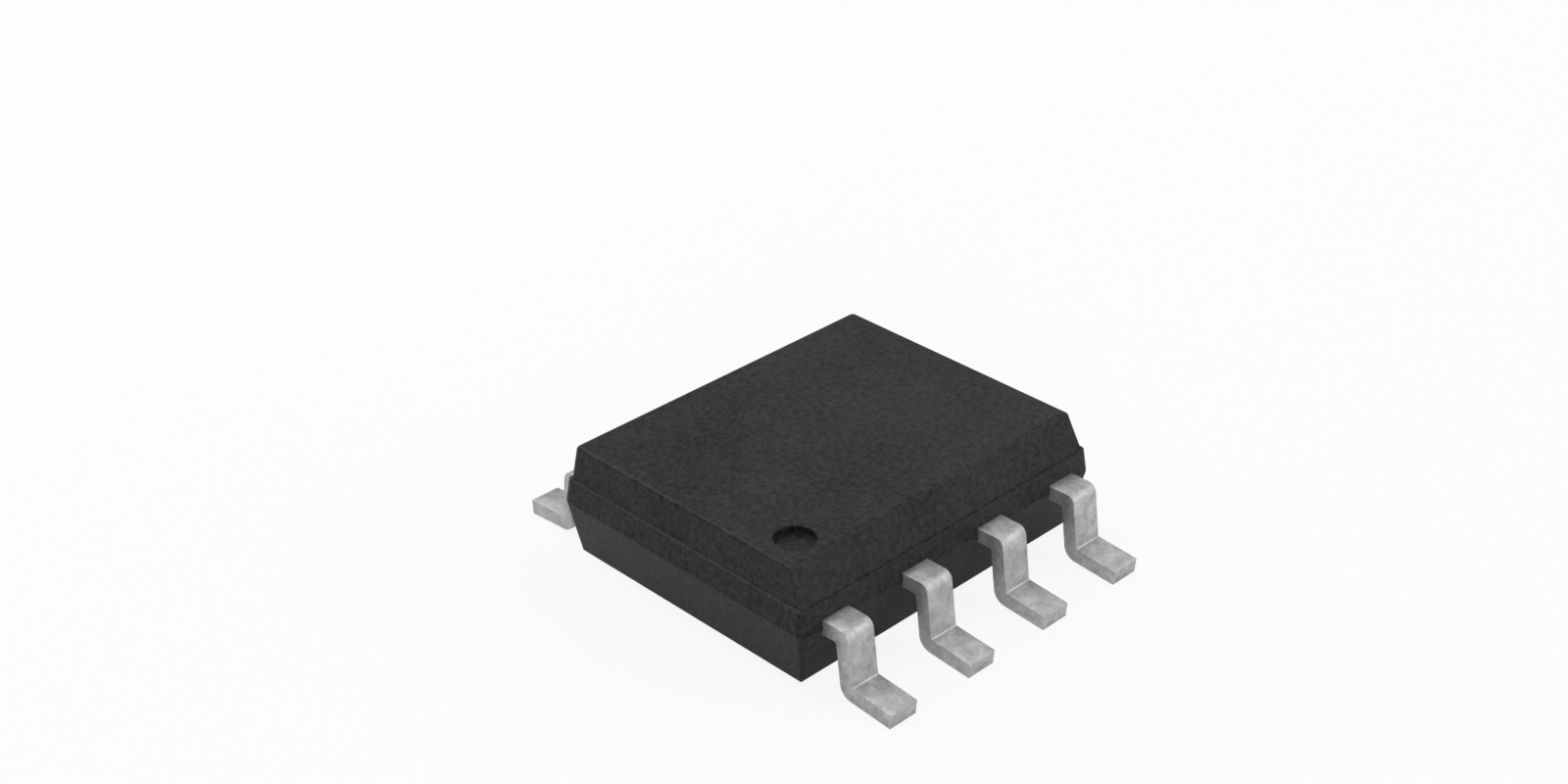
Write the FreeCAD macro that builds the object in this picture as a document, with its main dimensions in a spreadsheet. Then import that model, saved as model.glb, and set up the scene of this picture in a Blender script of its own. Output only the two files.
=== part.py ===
# Eight-lead small-outline integrated circuit, in millimetres, +Z up.
# The origin lies on the seating plane, midway between the two rows of leads.
# X runs along the moulded body with the pin-1 end at -X. Leads 1 to 4 leave the -Y side
# from -X to +X, and leads 5 to 8 leave the +Y side on the way back.
import FreeCAD, Part
import math
import os
import Sketcher
from FreeCAD import Vector

SIZES = [
    ("body_length", 4.88, "moulded body over its parting line, along X"),
    ("body_width", 3.93, "moulded body over its parting line, along Y"),
    ("body_thickness", 1.44, "moulded body, underside to top face"),
    ("standoff", 0.11, "underside of the body above the seating plane"),
    ("frame_height", 0.815, "middle of the lead frame above the seating plane"),
    ("upper_draft", 7.2, "draft angle of the upper mould half"),
    ("lower_draft", 11.5, "draft angle of the lower mould half"),
    ("seam_corner_radius", 0.10, "upright corners at the parting line"),
    ("top_corner_radius", 0.06, "upright corners at the top face"),
    ("base_corner_radius", 0.015, "upright corners at the underside"),
    ("ledge_height", 0.29, "ledge of the upper half above the parting line"),
    ("ledge_step", 0.03, "how far the wall steps in at the ledge"),
    ("ledge_slope", 0.02, "height over which it steps in"),
    ("bevel_inset", 0.187, "pin-1 side bevel, taken off the top face"),
    ("bevel_angle", 28.0, "slope of that bevel from the vertical"),
    ("top_edge_radius", 0.055, "rounding of the top face's edges"),
    ("dimple_diameter", 0.48, "pin-1 dimple"),
    ("dimple_depth", 0.10, "pin-1 dimple"),
    ("dimple_from_end", 0.575, "dimple centre from the end of the body"),
    ("dimple_from_side", 0.67, "dimple centre from the pin-1 side of the body"),
    ("pitch", 1.27, "lead to lead"),
    ("lead_width", 0.41, "outer part of each lead"),
    ("lead_thickness", 0.19, "sheet of the lead frame"),
    ("lead_span", 5.975, "toe to toe across the part"),
    ("shoulder_reach", 0.353, "shoulder corner beyond the side of the body"),
    ("lead_lean", 8.0, "leg off the vertical, foot outwards"),
    ("foot_angle", 4.4, "foot off the horizontal, toe down"),
    ("shoulder_outer_radius", 0.12, "outside of the shoulder bend"),
    ("shoulder_inner_radius", 0.03, "inside of the shoulder bend"),
    ("heel_radius", 0.18, "outside of the foot bend"),
    ("instep_radius", 0.03, "inside of the foot bend"),
    ("neck_depth", 0.215, "plain neck of each lead inside the body"),
    ("side_finger_tip", 0.60, "tips of the four corner fingers from the long axis"),
    ("middle_finger_width", 0.80, "bonding finger of the four middle leads"),
    ("finger_gap", 0.20, "fingers to centre island"),
    ("lock_hole_diameter", 0.22, "hole in each finger that the moulding fills"),
    ("lock_hole_inset", 0.22, "that hole from the wide finger's outer end"),
    ("island_length", 2.40, "centre island along X"),
    ("island_width", 2.00, "centre island along Y"),
    ("island_corner_radius", 0.10, "corners of the island"),
    ("island_downset", 0.20, "island below the leads"),
    ("tie_bar_width", 0.30, "the two bars that carried the island"),
    ("tie_bar_run", 0.15, "flat of each bar before it climbs"),
    ("tie_bar_slope", 45.0, "climb of each bar"),
    ("tie_bar_setback", 0.15, "bar's end inside the end of the body"),
    ("adhesive_thickness", 0.03, "die attach"),
    ("adhesive_margin", 0.05, "die attach beyond the die"),
    ("die_length", 1.50, "silicon die along X"),
    ("die_width", 1.10, "silicon die along Y"),
    ("die_thickness", 0.25, "silicon die"),
    ("pad_inset", 0.08, "bond pads from the die's edges"),
    ("middle_pad_offset", 0.22, "pads of the middle leads from the die's centre line"),
    ("wire_diameter", 0.033, "gold bond wire, over its corners"),
    ("ball_diameter", 0.08, "ball bond on the die"),
    ("ball_height", 0.03, "ball bond on the die"),
    ("stitch_diameter", 0.12, "stitch bond on the finger"),
    ("stitch_height", 0.04, "stitch bond on the finger"),
    ("stitch_inset", 0.15, "stitch bond from the finger's tip"),
    ("wire_rise", 0.10, "straight climb of the wire out of its ball"),
    ("wire_bend_radius", 0.08, "top of the wire's loop"),
]

doc = FreeCAD.newDocument("small_outline_ic")
sheet = doc.addObject("Spreadsheet::Sheet", "Sizes")
for row, (alias, size, meaning) in enumerate(SIZES, start=1):
    sheet.set(f"A{row}", meaning)
    sheet.set(f"B{row}", str(size))
    sheet.setAlias(f"B{row}", alias)
doc.recompute()

# Heights and half sizes that several pieces share, as expressions on the sheet
HALF_LENGTH = "Sizes.body_length / 2"
HALF_WIDTH = "Sizes.body_width / 2"
BODY_TOP = "(Sizes.standoff + Sizes.body_thickness)"
FRAME_TOP = "(Sizes.frame_height + Sizes.lead_thickness / 2)"
FRAME_BOTTOM = "(Sizes.frame_height - Sizes.lead_thickness / 2)"
ISLAND_BOTTOM = f"({FRAME_BOTTOM} - Sizes.island_downset)"
ISLAND_TOP = f"({FRAME_TOP} - Sizes.island_downset)"
DIE_BOTTOM = f"({ISLAND_TOP} + Sizes.adhesive_thickness)"
DIE_TOP = f"({DIE_BOTTOM} + Sizes.die_thickness)"
NECK_END = f"({HALF_WIDTH} - Sizes.neck_depth)"


def value(expression):
    """The number that an expression on the sheet gives now."""
    result = sheet.evalExpression(expression)
    return float(getattr(result, "Value", result))


def new_body(label):
    return doc.addObject("PartDesign::Body", label)


def new_sketch(body, name, role, height=None):
    """A sketch on one of the body's own origin planes, lifted by an expression."""
    sketch = body.newObject("Sketcher::SketchObject", name)
    plane = next(each for each in body.Origin.OriginFeatures if each.Role == role)
    sketch.AttachmentSupport = (plane, [""])
    sketch.MapMode = "FlatFace"
    if height:
        sketch.setExpression("AttachmentOffset.Base.z", height)
    return sketch


def dimension(sketch, kind, *places, size):
    """A sketch dimension that follows an expression on the sheet."""
    start = value(size)
    if kind == "Angle":
        start = math.radians(start)
    index = sketch.addConstraint(Sketcher.Constraint(kind, *places, start))
    sketch.setExpression(f"Constraints[{index}]", size)


def constrain(sketch, kind, *places):
    sketch.addConstraint(Sketcher.Constraint(kind, *places))


def draw_polygon(sketch, points):
    """Straight sides joined end to start; side 0 runs from the first point to the second."""
    ends = points[1:] + points[:1]
    for start, end in zip(points, ends):
        sketch.addGeometry(Part.LineSegment(Vector(*start, 0), Vector(*end, 0)), False)
    for side in range(len(points)):
        constrain(sketch, "Coincident", side, 2, (side + 1) % len(points), 1)


def level_sketch(body, name, height, centre):
    """A sketch parallel to the body's XY plane, with its origin over the centre."""
    sketch = new_sketch(body, name, "XY_Plane", height)
    sketch.setExpression("AttachmentOffset.Base.x", centre[0])
    sketch.setExpression("AttachmentOffset.Base.y", centre[1])
    return sketch


def rectangle(body, name, height, length, width, centre=("0", "0")):
    sketch = level_sketch(body, name, height, centre)
    half_x, half_y = value(length) / 2, value(width) / 2
    draw_polygon(sketch, [(-half_x, -half_y), (half_x, -half_y), (half_x, half_y), (-half_x, half_y)])
    for side, kind in enumerate(["Horizontal", "Vertical", "Horizontal", "Vertical"]):
        constrain(sketch, kind, side)
    constrain(sketch, "Symmetric", 0, 1, 1, 2, -1, 1)
    dimension(sketch, "DistanceX", 0, 1, 0, 2, size=length)
    dimension(sketch, "DistanceY", 1, 1, 1, 2, size=width)
    return sketch


def rounded_rectangle(body, name, height, length, width, radius):
    """A level rectangle with round corners, centred on the body's Z axis."""
    sketch = new_sketch(body, name, "XY_Plane", height)
    half_x, half_y, round_off = value(length) / 2, value(width) / 2, value(radius)
    flat_x, flat_y = half_x - round_off, half_y - round_off
    sides = [
        ((-flat_x, -half_y), (flat_x, -half_y)),
        ((half_x, -flat_y), (half_x, flat_y)),
        ((flat_x, half_y), (-flat_x, half_y)),
        ((-half_x, flat_y), (-half_x, -flat_y)),
    ]
    corners = [(flat_x, -flat_y), (flat_x, flat_y), (-flat_x, flat_y), (-flat_x, -flat_y)]
    for start, end in sides:
        sketch.addGeometry(Part.LineSegment(Vector(*start, 0), Vector(*end, 0)), False)
    for quarter, corner in enumerate(corners):
        circle = Part.Circle(Vector(*corner, 0), Vector(0, 0, 1), round_off)
        first_angle = (quarter - 1) * math.pi / 2
        sketch.addGeometry(Part.ArcOfCircle(circle, first_angle, first_angle + math.pi / 2), False)
    for side in range(4):
        constrain(sketch, "Tangent", side, 2, 4 + side, 1)
        constrain(sketch, "Tangent", 4 + side, 2, (side + 1) % 4, 1)
    for side, kind in enumerate(["Horizontal", "Vertical", "Horizontal", "Vertical"]):
        constrain(sketch, kind, side)
    for corner in (5, 6, 7):
        constrain(sketch, "Equal", 4, corner)
    constrain(sketch, "Symmetric", 4, 3, 6, 3, -1, 1)
    dimension(sketch, "Radius", 4, size=radius)
    dimension(sketch, "DistanceX", 3, 1, 1, 1, size=length)
    dimension(sketch, "DistanceY", 0, 1, 2, 1, size=width)
    return sketch


def circle_sketch(body, name, height, diameter, centre):
    sketch = level_sketch(body, name, height, centre)
    circle = Part.Circle(Vector(0, 0, 0), Vector(0, 0, 1), value(diameter) / 2)
    sketch.addGeometry(circle, False)
    constrain(sketch, "Coincident", 0, 3, -1, 1)
    dimension(sketch, "Diameter", 0, size=diameter)
    return sketch


def octagon_sketch(body, name, height, diameter, centre=("0", "0")):
    """A regular octagon whose corners lie on a circle of that diameter."""
    sketch = level_sketch(body, name, height, centre)
    radius = value(diameter) / 2
    turns = [math.radians(45 * corner) for corner in range(8)]
    draw_polygon(sketch, [(radius * math.cos(turn), radius * math.sin(turn)) for turn in turns])
    circle = sketch.addGeometry(Part.Circle(Vector(0, 0, 0), Vector(0, 0, 1), radius), True)
    constrain(sketch, "Coincident", circle, 3, -1, 1)
    constrain(sketch, "PointOnObject", 0, 1, -1)
    for side in range(circle):
        constrain(sketch, "PointOnObject", side, 1, circle)
    for side in range(1, circle):
        constrain(sketch, "Equal", 0, side)
    dimension(sketch, "Diameter", circle, size=diameter)
    return sketch


def pad(body, name, sketch, length, both_ways=False):
    feature = body.newObject("PartDesign::Pad", name)
    feature.Profile = sketch
    feature.SideType = "Symmetric" if both_ways else "One side"
    feature.setExpression("Length", length)
    return feature


def pocket(body, name, sketch, depth, both_ways=False):
    """A cut on the far side of the sketch's plane, or to both sides of it."""
    feature = body.newObject("PartDesign::Pocket", name)
    feature.Profile = sketch
    feature.SideType = "Symmetric" if both_ways else "One side"
    feature.setExpression("Length", depth)
    return feature


def loft(body, name, lower, upper):
    feature = body.newObject("PartDesign::AdditiveLoft", name)
    feature.Profile = lower
    feature.Sections = [upper]
    feature.Ruled = True
    return feature


def round_edges(body, name, chosen, radius):
    """Round the edges of the body's last feature that the test picks."""
    doc.recompute()
    base = body.Tip
    edges = [
        f"Edge{number}"
        for number, edge in enumerate(base.Shape.Edges, start=1)
        if chosen(edge)
    ]
    feature = body.newObject("PartDesign::Fillet", name)
    feature.Base = (base, edges)
    feature.setExpression("Radius", radius)
    return feature


def lies_at(edge, **place):
    """True if both ends of the edge have the coordinates given as y= or z=."""
    return all(
        abs(getattr(vertex.Point, axis) - at) < 1e-4
        for vertex in edge.Vertexes
        for axis, at in place.items()
    )


# The moulding is cast in two mould halves that part at the middle of the lead frame.
# Each wall leans in from there, and the upright corners grow sharper with the distance.
UPPER_HEIGHT = f"({BODY_TOP} - Sizes.frame_height)"
LOWER_HEIGHT = "(Sizes.frame_height - Sizes.standoff)"
LEDGE_INSET = "(Sizes.ledge_height * tan(Sizes.upper_draft))"
TOP_INSET = f"({UPPER_HEIGHT} * tan(Sizes.upper_draft) + Sizes.ledge_step)"
BASE_INSET = f"({LOWER_HEIGHT} * tan(Sizes.lower_draft))"
LEDGE_CORNER = (
    "(Sizes.seam_corner_radius + (Sizes.top_corner_radius - Sizes.seam_corner_radius)"
    f" * Sizes.ledge_height / {UPPER_HEIGHT})"
)


def body_section(body, name, height, inset, radius):
    length = f"Sizes.body_length - 2 * {inset}"
    width = f"Sizes.body_width - 2 * {inset}"
    return rounded_rectangle(body, name, height, length, width, radius)


def make_moulding_blank():
    """The moulding's outside, before the pieces that it holds are taken out of it."""
    body = new_body("moulding_blank")
    ledge = "Sizes.frame_height + Sizes.ledge_height"
    ledge_end = f"{ledge} + Sizes.ledge_slope"
    stepped = f"({LEDGE_INSET} + Sizes.ledge_step)"
    base = body_section(body, "base_outline", "Sizes.standoff", BASE_INSET, "Sizes.base_corner_radius")
    seam = body_section(body, "seam_outline", "Sizes.frame_height", "0", "Sizes.seam_corner_radius")
    ledge_foot = body_section(body, "ledge_foot", ledge, LEDGE_INSET, LEDGE_CORNER)
    ledge_head = body_section(body, "ledge_head", ledge_end, stepped, LEDGE_CORNER)
    top = body_section(body, "top_outline", BODY_TOP, TOP_INSET, "Sizes.top_corner_radius")
    loft(body, "lower_half", base, seam)
    loft(body, "upper_skirt", seam, ledge_foot)
    loft(body, "ledge", ledge_foot, ledge_head)
    loft(body, "upper_half", ledge_head, top)
    cut_bevel(body)
    top_height = value(BODY_TOP)
    round_edges(body, "top_edges", lambda edge: lies_at(edge, z=top_height), "Sizes.top_edge_radius")
    centre = (
        f"Sizes.dimple_from_end - {HALF_LENGTH}",
        f"Sizes.dimple_from_side - {HALF_WIDTH}",
    )
    dimple = circle_sketch(body, "dimple_outline", BODY_TOP, "Sizes.dimple_diameter", centre)
    pocket(body, "pin_1_dimple", dimple, "Sizes.dimple_depth")
    return body


def cut_bevel(body):
    """The long bevel over leads 1 to 4, cut from the top face down to the ledge."""
    sketch = new_sketch(body, "bevel_outline", "YZ_Plane")
    edge = f"({HALF_WIDTH} - {TOP_INSET} - Sizes.bevel_inset)"
    drop = f"({UPPER_HEIGHT} - Sizes.ledge_height - Sizes.ledge_slope / 2)"
    edge_y, side_y, top = value(edge), value(HALF_WIDTH), value(BODY_TOP)
    foot_z = top - value(drop)
    foot_y = edge_y + value(drop) * math.tan(math.radians(value("Sizes.bevel_angle")))
    draw_polygon(sketch, [(-edge_y, top), (-foot_y, foot_z), (-side_y, foot_z), (-side_y, top)])
    constrain(sketch, "Horizontal", 1)
    constrain(sketch, "Vertical", 2)
    constrain(sketch, "Horizontal", 3)
    dimension(sketch, "DistanceX", 0, 1, -1, 1, size=edge)
    dimension(sketch, "DistanceX", 3, 1, -1, 1, size=HALF_WIDTH)
    dimension(sketch, "DistanceY", -1, 1, 0, 1, size=BODY_TOP)
    dimension(sketch, "DistanceY", 2, 1, 2, 2, size=drop)
    dimension(sketch, "Angle", 0, size="-90 - Sizes.bevel_angle")
    pocket(body, "pin_1_side_bevel", sketch, "Sizes.body_length", both_ways=True)


# Each lead is modelled on the +Y side at X = 0 and then put in its place.
TOE = "Sizes.lead_span / 2"
SHOULDER = f"({HALF_WIDTH} + Sizes.shoulder_reach)"


def crossing(point, direction, other, other_direction):
    """Where two lines in a plane meet."""
    (px, py), (dx, dy) = point, direction
    (qx, qy), (ex, ey) = other, other_direction
    along = ((qx - px) * ey - (qy - py) * ex) / (dx * ey - dy * ex)
    return (px + along * dx, py + along * dy)


def gull_wing_corners():
    """Corners of the lead's side view, from the neck's top round to the neck's underside."""
    thick = value("Sizes.lead_thickness")
    lean, dip = math.radians(value("Sizes.lead_lean")), math.radians(value("Sizes.foot_angle"))
    neck, top, toe = value(NECK_END), value(FRAME_TOP), value(TOE)
    leg = (math.sin(lean), -math.cos(lean))
    foot = (math.cos(dip), -math.sin(dip))
    shoulder = (value(SHOULDER), top)
    shoulder_inside = (shoulder[0] - thick * math.cos(lean), shoulder[1] - thick * math.sin(lean))
    toe_top = (toe, thick * math.cos(dip))
    toe_tip = (toe - thick * math.sin(dip), 0.0)
    instep = crossing(shoulder, leg, toe_top, foot)
    heel = crossing(shoulder_inside, leg, toe_tip, foot)
    armpit = crossing(shoulder_inside, leg, (neck, top - thick), (1.0, 0.0))
    return [(neck, top), shoulder, instep, toe_top, toe_tip, heel, armpit, (neck, top - thick)]


def draw_gull_wing(body):
    """The side view of the outer lead with sharp bends, fully dimensioned."""
    sketch = new_sketch(body, "gull_wing", "YZ_Plane")
    draw_polygon(sketch, gull_wing_corners())
    constrain(sketch, "Horizontal", 0)
    constrain(sketch, "Horizontal", 6)
    constrain(sketch, "Vertical", 7)
    constrain(sketch, "Parallel", 1, 5)
    constrain(sketch, "Parallel", 2, 4)
    constrain(sketch, "Perpendicular", 2, 3)
    constrain(sketch, "PointOnObject", 4, 1, -1)
    dimension(sketch, "DistanceX", -1, 1, 0, 1, size=NECK_END)
    dimension(sketch, "DistanceY", -1, 1, 0, 1, size=FRAME_TOP)
    dimension(sketch, "DistanceY", 7, 1, 7, 2, size="Sizes.lead_thickness")
    dimension(sketch, "DistanceX", -1, 1, 0, 2, size=SHOULDER)
    dimension(sketch, "Angle", 1, size="Sizes.lead_lean - 90")
    dimension(sketch, "Angle", 2, size="-Sizes.foot_angle")
    dimension(sketch, "Distance", 5, 2, 1, size="Sizes.lead_thickness")
    dimension(sketch, "Distance", 3, size="Sizes.lead_thickness")
    dimension(sketch, "DistanceX", -1, 1, 3, 1, size=TOE)
    return sketch


# The corner leads bond beside the island, and the middle ones in front of it. A finger is
# given by its place across the lead, its width and its tip, in the lead's own place.
CORNER_REACH = "(1.5 * Sizes.pitch - Sizes.island_length / 2 - Sizes.finger_gap)"
CORNER_WIDTH = f"({CORNER_REACH} + Sizes.lead_width / 2)"
MIDDLE_TIP = "(Sizes.island_width / 2 + Sizes.finger_gap)"


def finger_plan(number):
    """Centre across the lead, width and tip of the bonding finger, as expressions."""
    if number in (1, 4, 5, 8):
        towards_middle = "-1" if number in (1, 5) else "1"
        centre = f"({towards_middle} * ({CORNER_WIDTH} - Sizes.lead_width) / 2)"
        return centre, CORNER_WIDTH, "Sizes.side_finger_tip"
    return "0", "Sizes.middle_finger_width", MIDDLE_TIP


def lead_place(number):
    """The X position of a lead, as an expression, and its side: 1 for +Y, -1 for -Y."""
    if number <= 4:
        return f"({number - 2.5} * Sizes.pitch)", -1
    return f"({6.5 - number} * Sizes.pitch)", 1


def make_lead(number):
    """One lead: gull wing outside the body, neck and bonding finger inside it."""
    body = new_body(f"lead_{number}")
    pad(body, "outer_lead", draw_gull_wing(body), "Sizes.lead_width", both_ways=True)
    _, shoulder, instep, _, _, heel, armpit, _ = gull_wing_corners()
    bends = [
        ("shoulder_outside", shoulder, "Sizes.shoulder_outer_radius"),
        ("shoulder_inside", armpit, "Sizes.shoulder_inner_radius"),
        ("heel", heel, "Sizes.heel_radius"),
        ("instep", instep, "Sizes.instep_radius"),
    ]
    for name, (across, up), radius in bends:
        round_edges(body, name, lambda edge: lies_at(edge, y=across, z=up), radius)
    centre, width, tip = finger_plan(number)
    length = f"({NECK_END} - {tip})"
    middle = f"({NECK_END} - {length} / 2)"
    outline = rectangle(body, "finger_outline", FRAME_BOTTOM, width, length, (centre, middle))
    pad(body, "finger", outline, "Sizes.lead_thickness")
    hole_place = (centre, f"{NECK_END} - Sizes.lock_hole_inset")
    hole = circle_sketch(body, "lock_hole_outline", FRAME_TOP, "Sizes.lock_hole_diameter", hole_place)
    pocket(body, "lock_hole", hole, "Sizes.lead_thickness")
    place, side = lead_place(number)
    turn = "180" if side < 0 else "0"
    body.setExpression("Placement", f"placement(vector({place}; 0; 0); rotation(vector(0; 0; 1); {turn}))")
    return body


def make_die_paddle():
    """The centre island, set down below the leads, with a bent tie bar at each end."""
    body = new_body("die_paddle")
    outline = rounded_rectangle(
        body, "island_outline", ISLAND_BOTTOM, "Sizes.island_length", "Sizes.island_width",
        "Sizes.island_corner_radius",
    )
    pad(body, "island", outline, "Sizes.lead_thickness")
    bar = pad(body, "tie_bar", draw_tie_bar(body), "Sizes.tie_bar_width", both_ways=True)
    mirrored = body.newObject("PartDesign::Mirrored", "other_tie_bar")
    mirrored.Originals = [bar]
    end_plane = next(each for each in body.Origin.OriginFeatures if each.Role == "YZ_Plane")
    mirrored.MirrorPlane = (end_plane, [""])
    body.Tip = mirrored
    return body


def draw_tie_bar(body):
    """Side view of one tie bar: along the island, up the slope and out level with the leads."""
    sketch = new_sketch(body, "tie_bar_outline", "XZ_Plane")
    thick, slope = value("Sizes.lead_thickness"), math.radians(value("Sizes.tie_bar_slope"))
    start, low, high = value("Sizes.island_length") / 2, value(ISLAND_BOTTOM), value(FRAME_BOTTOM)
    end = value(f"{HALF_LENGTH} - Sizes.tie_bar_setback")
    foot = start + value("Sizes.tie_bar_run")
    head = foot + (high - low) / math.tan(slope)
    shift = thick * math.tan(slope / 2)
    points = [
        (start, low), (foot, low), (head, high), (end, high), (end, high + thick),
        (head - shift, high + thick), (foot - shift, low + thick), (start, low + thick),
    ]
    draw_polygon(sketch, points)
    for side in (0, 2, 4, 6):
        constrain(sketch, "Horizontal", side)
    for side in (3, 7):
        constrain(sketch, "Vertical", side)
    constrain(sketch, "Parallel", 1, 5)
    dimension(sketch, "DistanceX", -1, 1, 0, 1, size="Sizes.island_length / 2")
    dimension(sketch, "DistanceY", -1, 1, 0, 1, size=ISLAND_BOTTOM)
    dimension(sketch, "DistanceX", 0, 1, 0, 2, size="Sizes.tie_bar_run")
    dimension(sketch, "Angle", 1, size="Sizes.tie_bar_slope")
    dimension(sketch, "DistanceY", -1, 1, 2, 1, size=FRAME_BOTTOM)
    dimension(sketch, "DistanceX", -1, 1, 2, 2, size=f"{HALF_LENGTH} - Sizes.tie_bar_setback")
    dimension(sketch, "DistanceY", 3, 1, 3, 2, size="Sizes.lead_thickness")
    dimension(sketch, "DistanceY", 7, 2, 7, 1, size="Sizes.lead_thickness")
    dimension(sketch, "Distance", 5, 1, 1, size="Sizes.lead_thickness")
    return sketch


def make_slab(label, height, length, width, radius, thickness):
    body = new_body(label)
    outline = rounded_rectangle(body, "outline", height, length, width, radius)
    pad(body, "slab", outline, thickness)
    return body


def make_silicon_die():
    """The die, sawn square from the wafer."""
    body = new_body("silicon_die")
    outline = rectangle(body, "sawn_outline", DIE_BOTTOM, "Sizes.die_length", "Sizes.die_width")
    pad(body, "die", outline, "Sizes.die_thickness")
    return body


def bond_places(number):
    """Where a wire leaves the die and where it lands, as expressions for X and Y."""
    place, side = lead_place(number)
    end = -1 if number in (1, 2, 7, 8) else 1
    if number in (1, 4, 5, 8):
        pad_x = f"({end} * (Sizes.die_length / 2 - Sizes.pad_inset))"
    else:
        pad_x = f"({end} * Sizes.middle_pad_offset)"
    pad_y = f"({side} * (Sizes.die_width / 2 - Sizes.pad_inset))"
    centre, _, tip = finger_plan(number)
    stitch_x = f"({place} + {side} * {centre})"
    stitch_y = f"({side} * ({tip} + Sizes.stitch_inset))"
    return pad_x, pad_y, stitch_x, stitch_y


def draw_wire_path(body, reach, landing):
    """The wire's centre line: up out of the ball, over the loop and straight down to the stitch."""
    sketch = new_sketch(body, "wire_path", "XZ_Plane")
    bend = value("Sizes.wire_bend_radius")
    start = value("Sizes.ball_height") / 2
    top = start + value("Sizes.wire_rise")
    end = Vector(value(reach), value(landing), 0)
    centre = Vector(bend, top, 0)
    towards = end - centre
    turn = math.atan2(towards.y, towards.x) + math.acos(bend / towards.Length)
    off = centre + bend * Vector(math.cos(turn), math.sin(turn), 0)
    sketch.addGeometry(Part.LineSegment(Vector(0, start, 0), Vector(0, top, 0)), False)
    circle = Part.Circle(centre, Vector(0, 0, 1), bend)
    sketch.addGeometry(Part.ArcOfCircle(circle, turn, math.pi), False)
    sketch.addGeometry(Part.LineSegment(off, end), False)
    constrain(sketch, "PointOnObject", 0, 1, -2)
    constrain(sketch, "Vertical", 0)
    constrain(sketch, "Tangent", 0, 2, 1, 2)
    constrain(sketch, "Tangent", 1, 1, 2, 1)
    dimension(sketch, "DistanceY", -1, 1, 0, 1, size="Sizes.ball_height / 2")
    dimension(sketch, "DistanceY", 0, 1, 0, 2, size="Sizes.wire_rise")
    dimension(sketch, "Radius", 1, size="Sizes.wire_bend_radius")
    dimension(sketch, "DistanceX", -1, 1, 2, 2, size=reach)
    dimension(sketch, "DistanceY", 2, 2, -1, 1, size=f"-({landing})")
    return sketch


def bond_bump(body, name, height, diameter, thickness, centre):
    """A flattened blob of gold standing on a pad or a finger."""
    outline = octagon_sketch(body, f"{name}_outline", height, diameter, centre)
    pad(body, name, outline, thickness)


def make_bond_wire(number):
    """One gold wire, modelled in the XZ plane of its own frame with its ball at the origin."""
    body = new_body(f"bond_wire_{number}")
    pad_x, pad_y, stitch_x, stitch_y = bond_places(number)
    across, along = f"({stitch_x} - {pad_x})", f"({stitch_y} - {pad_y})"
    reach = f"hypot({across}; {along})"
    finger = f"({FRAME_TOP} - {DIE_TOP})"
    bond_bump(body, "ball", "0", "Sizes.ball_diameter", "Sizes.ball_height", ("0", "0"))
    bond_bump(body, "stitch", finger, "Sizes.stitch_diameter", "Sizes.stitch_height", (reach, "0"))
    path = draw_wire_path(body, reach, f"{finger} + Sizes.stitch_height / 2")
    section = octagon_sketch(body, "wire_section", "Sizes.ball_height / 2", "Sizes.wire_diameter")
    wire = body.newObject("PartDesign::AdditivePipe", "wire")
    wire.Profile = section
    wire.Spine = (path, ["Edge1", "Edge2", "Edge3"])
    heading = f"rotation(vector(0; 0; 1); atan2({along}; {across}))"
    body.setExpression("Placement", f"placement(vector({pad_x}; {pad_y}; {DIE_TOP}); {heading})")
    return body


def make_moulded_body(blank, held):
    """The finished moulding: the blank with every piece that it was cast around taken out."""
    inserts = doc.addObject("Part::MultiFuse", "inserts")
    inserts.Shapes = held
    moulding = doc.addObject("Part::Cut", "moulded_body")
    moulding.Base = blank
    moulding.Tool = inserts
    return moulding


def check(pieces):
    for each in doc.Objects:
        if "Invalid" in each.State or "Error" in each.State:
            raise RuntimeError(f"{each.Label} failed: {each.State}")
    for piece in pieces:
        if piece.Shape.isNull() or not piece.Shape.isValid() or len(piece.Shape.Solids) != 1:
            raise RuntimeError(f"{piece.Label} isn't one sound solid")


leads = [make_lead(number) for number in range(1, 9)]
paddle = make_die_paddle()
adhesive = make_slab(
    "die_attach", ISLAND_TOP,
    "Sizes.die_length + 2 * Sizes.adhesive_margin", "Sizes.die_width + 2 * Sizes.adhesive_margin",
    "Sizes.adhesive_margin", "Sizes.adhesive_thickness",
)
die = make_silicon_die()
wires = [make_bond_wire(number) for number in range(1, 9)]
held_pieces = leads + [paddle, adhesive, die] + wires
moulded_body = make_moulded_body(make_moulding_blank(), held_pieces)
doc.recompute()

sub_parts = [moulded_body] + held_pieces
check(sub_parts)
os.makedirs("parts", exist_ok=True)
for piece in sub_parts:
    piece.Shape.exportStep(f"parts/{piece.Label}.step")
    print(f"{piece.Label}: {piece.Shape.Volume:.5f} mm3, {len(piece.Shape.Faces)} faces")
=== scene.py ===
"""A narrow eight-lead small-outline chip on a white table.

Sizes are in millimetres, and MM makes metres of them. A pattern's scale is its repeats to the metre.
"""
import math

import bmesh
import bpy
from mathutils import Matrix, Vector


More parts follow.
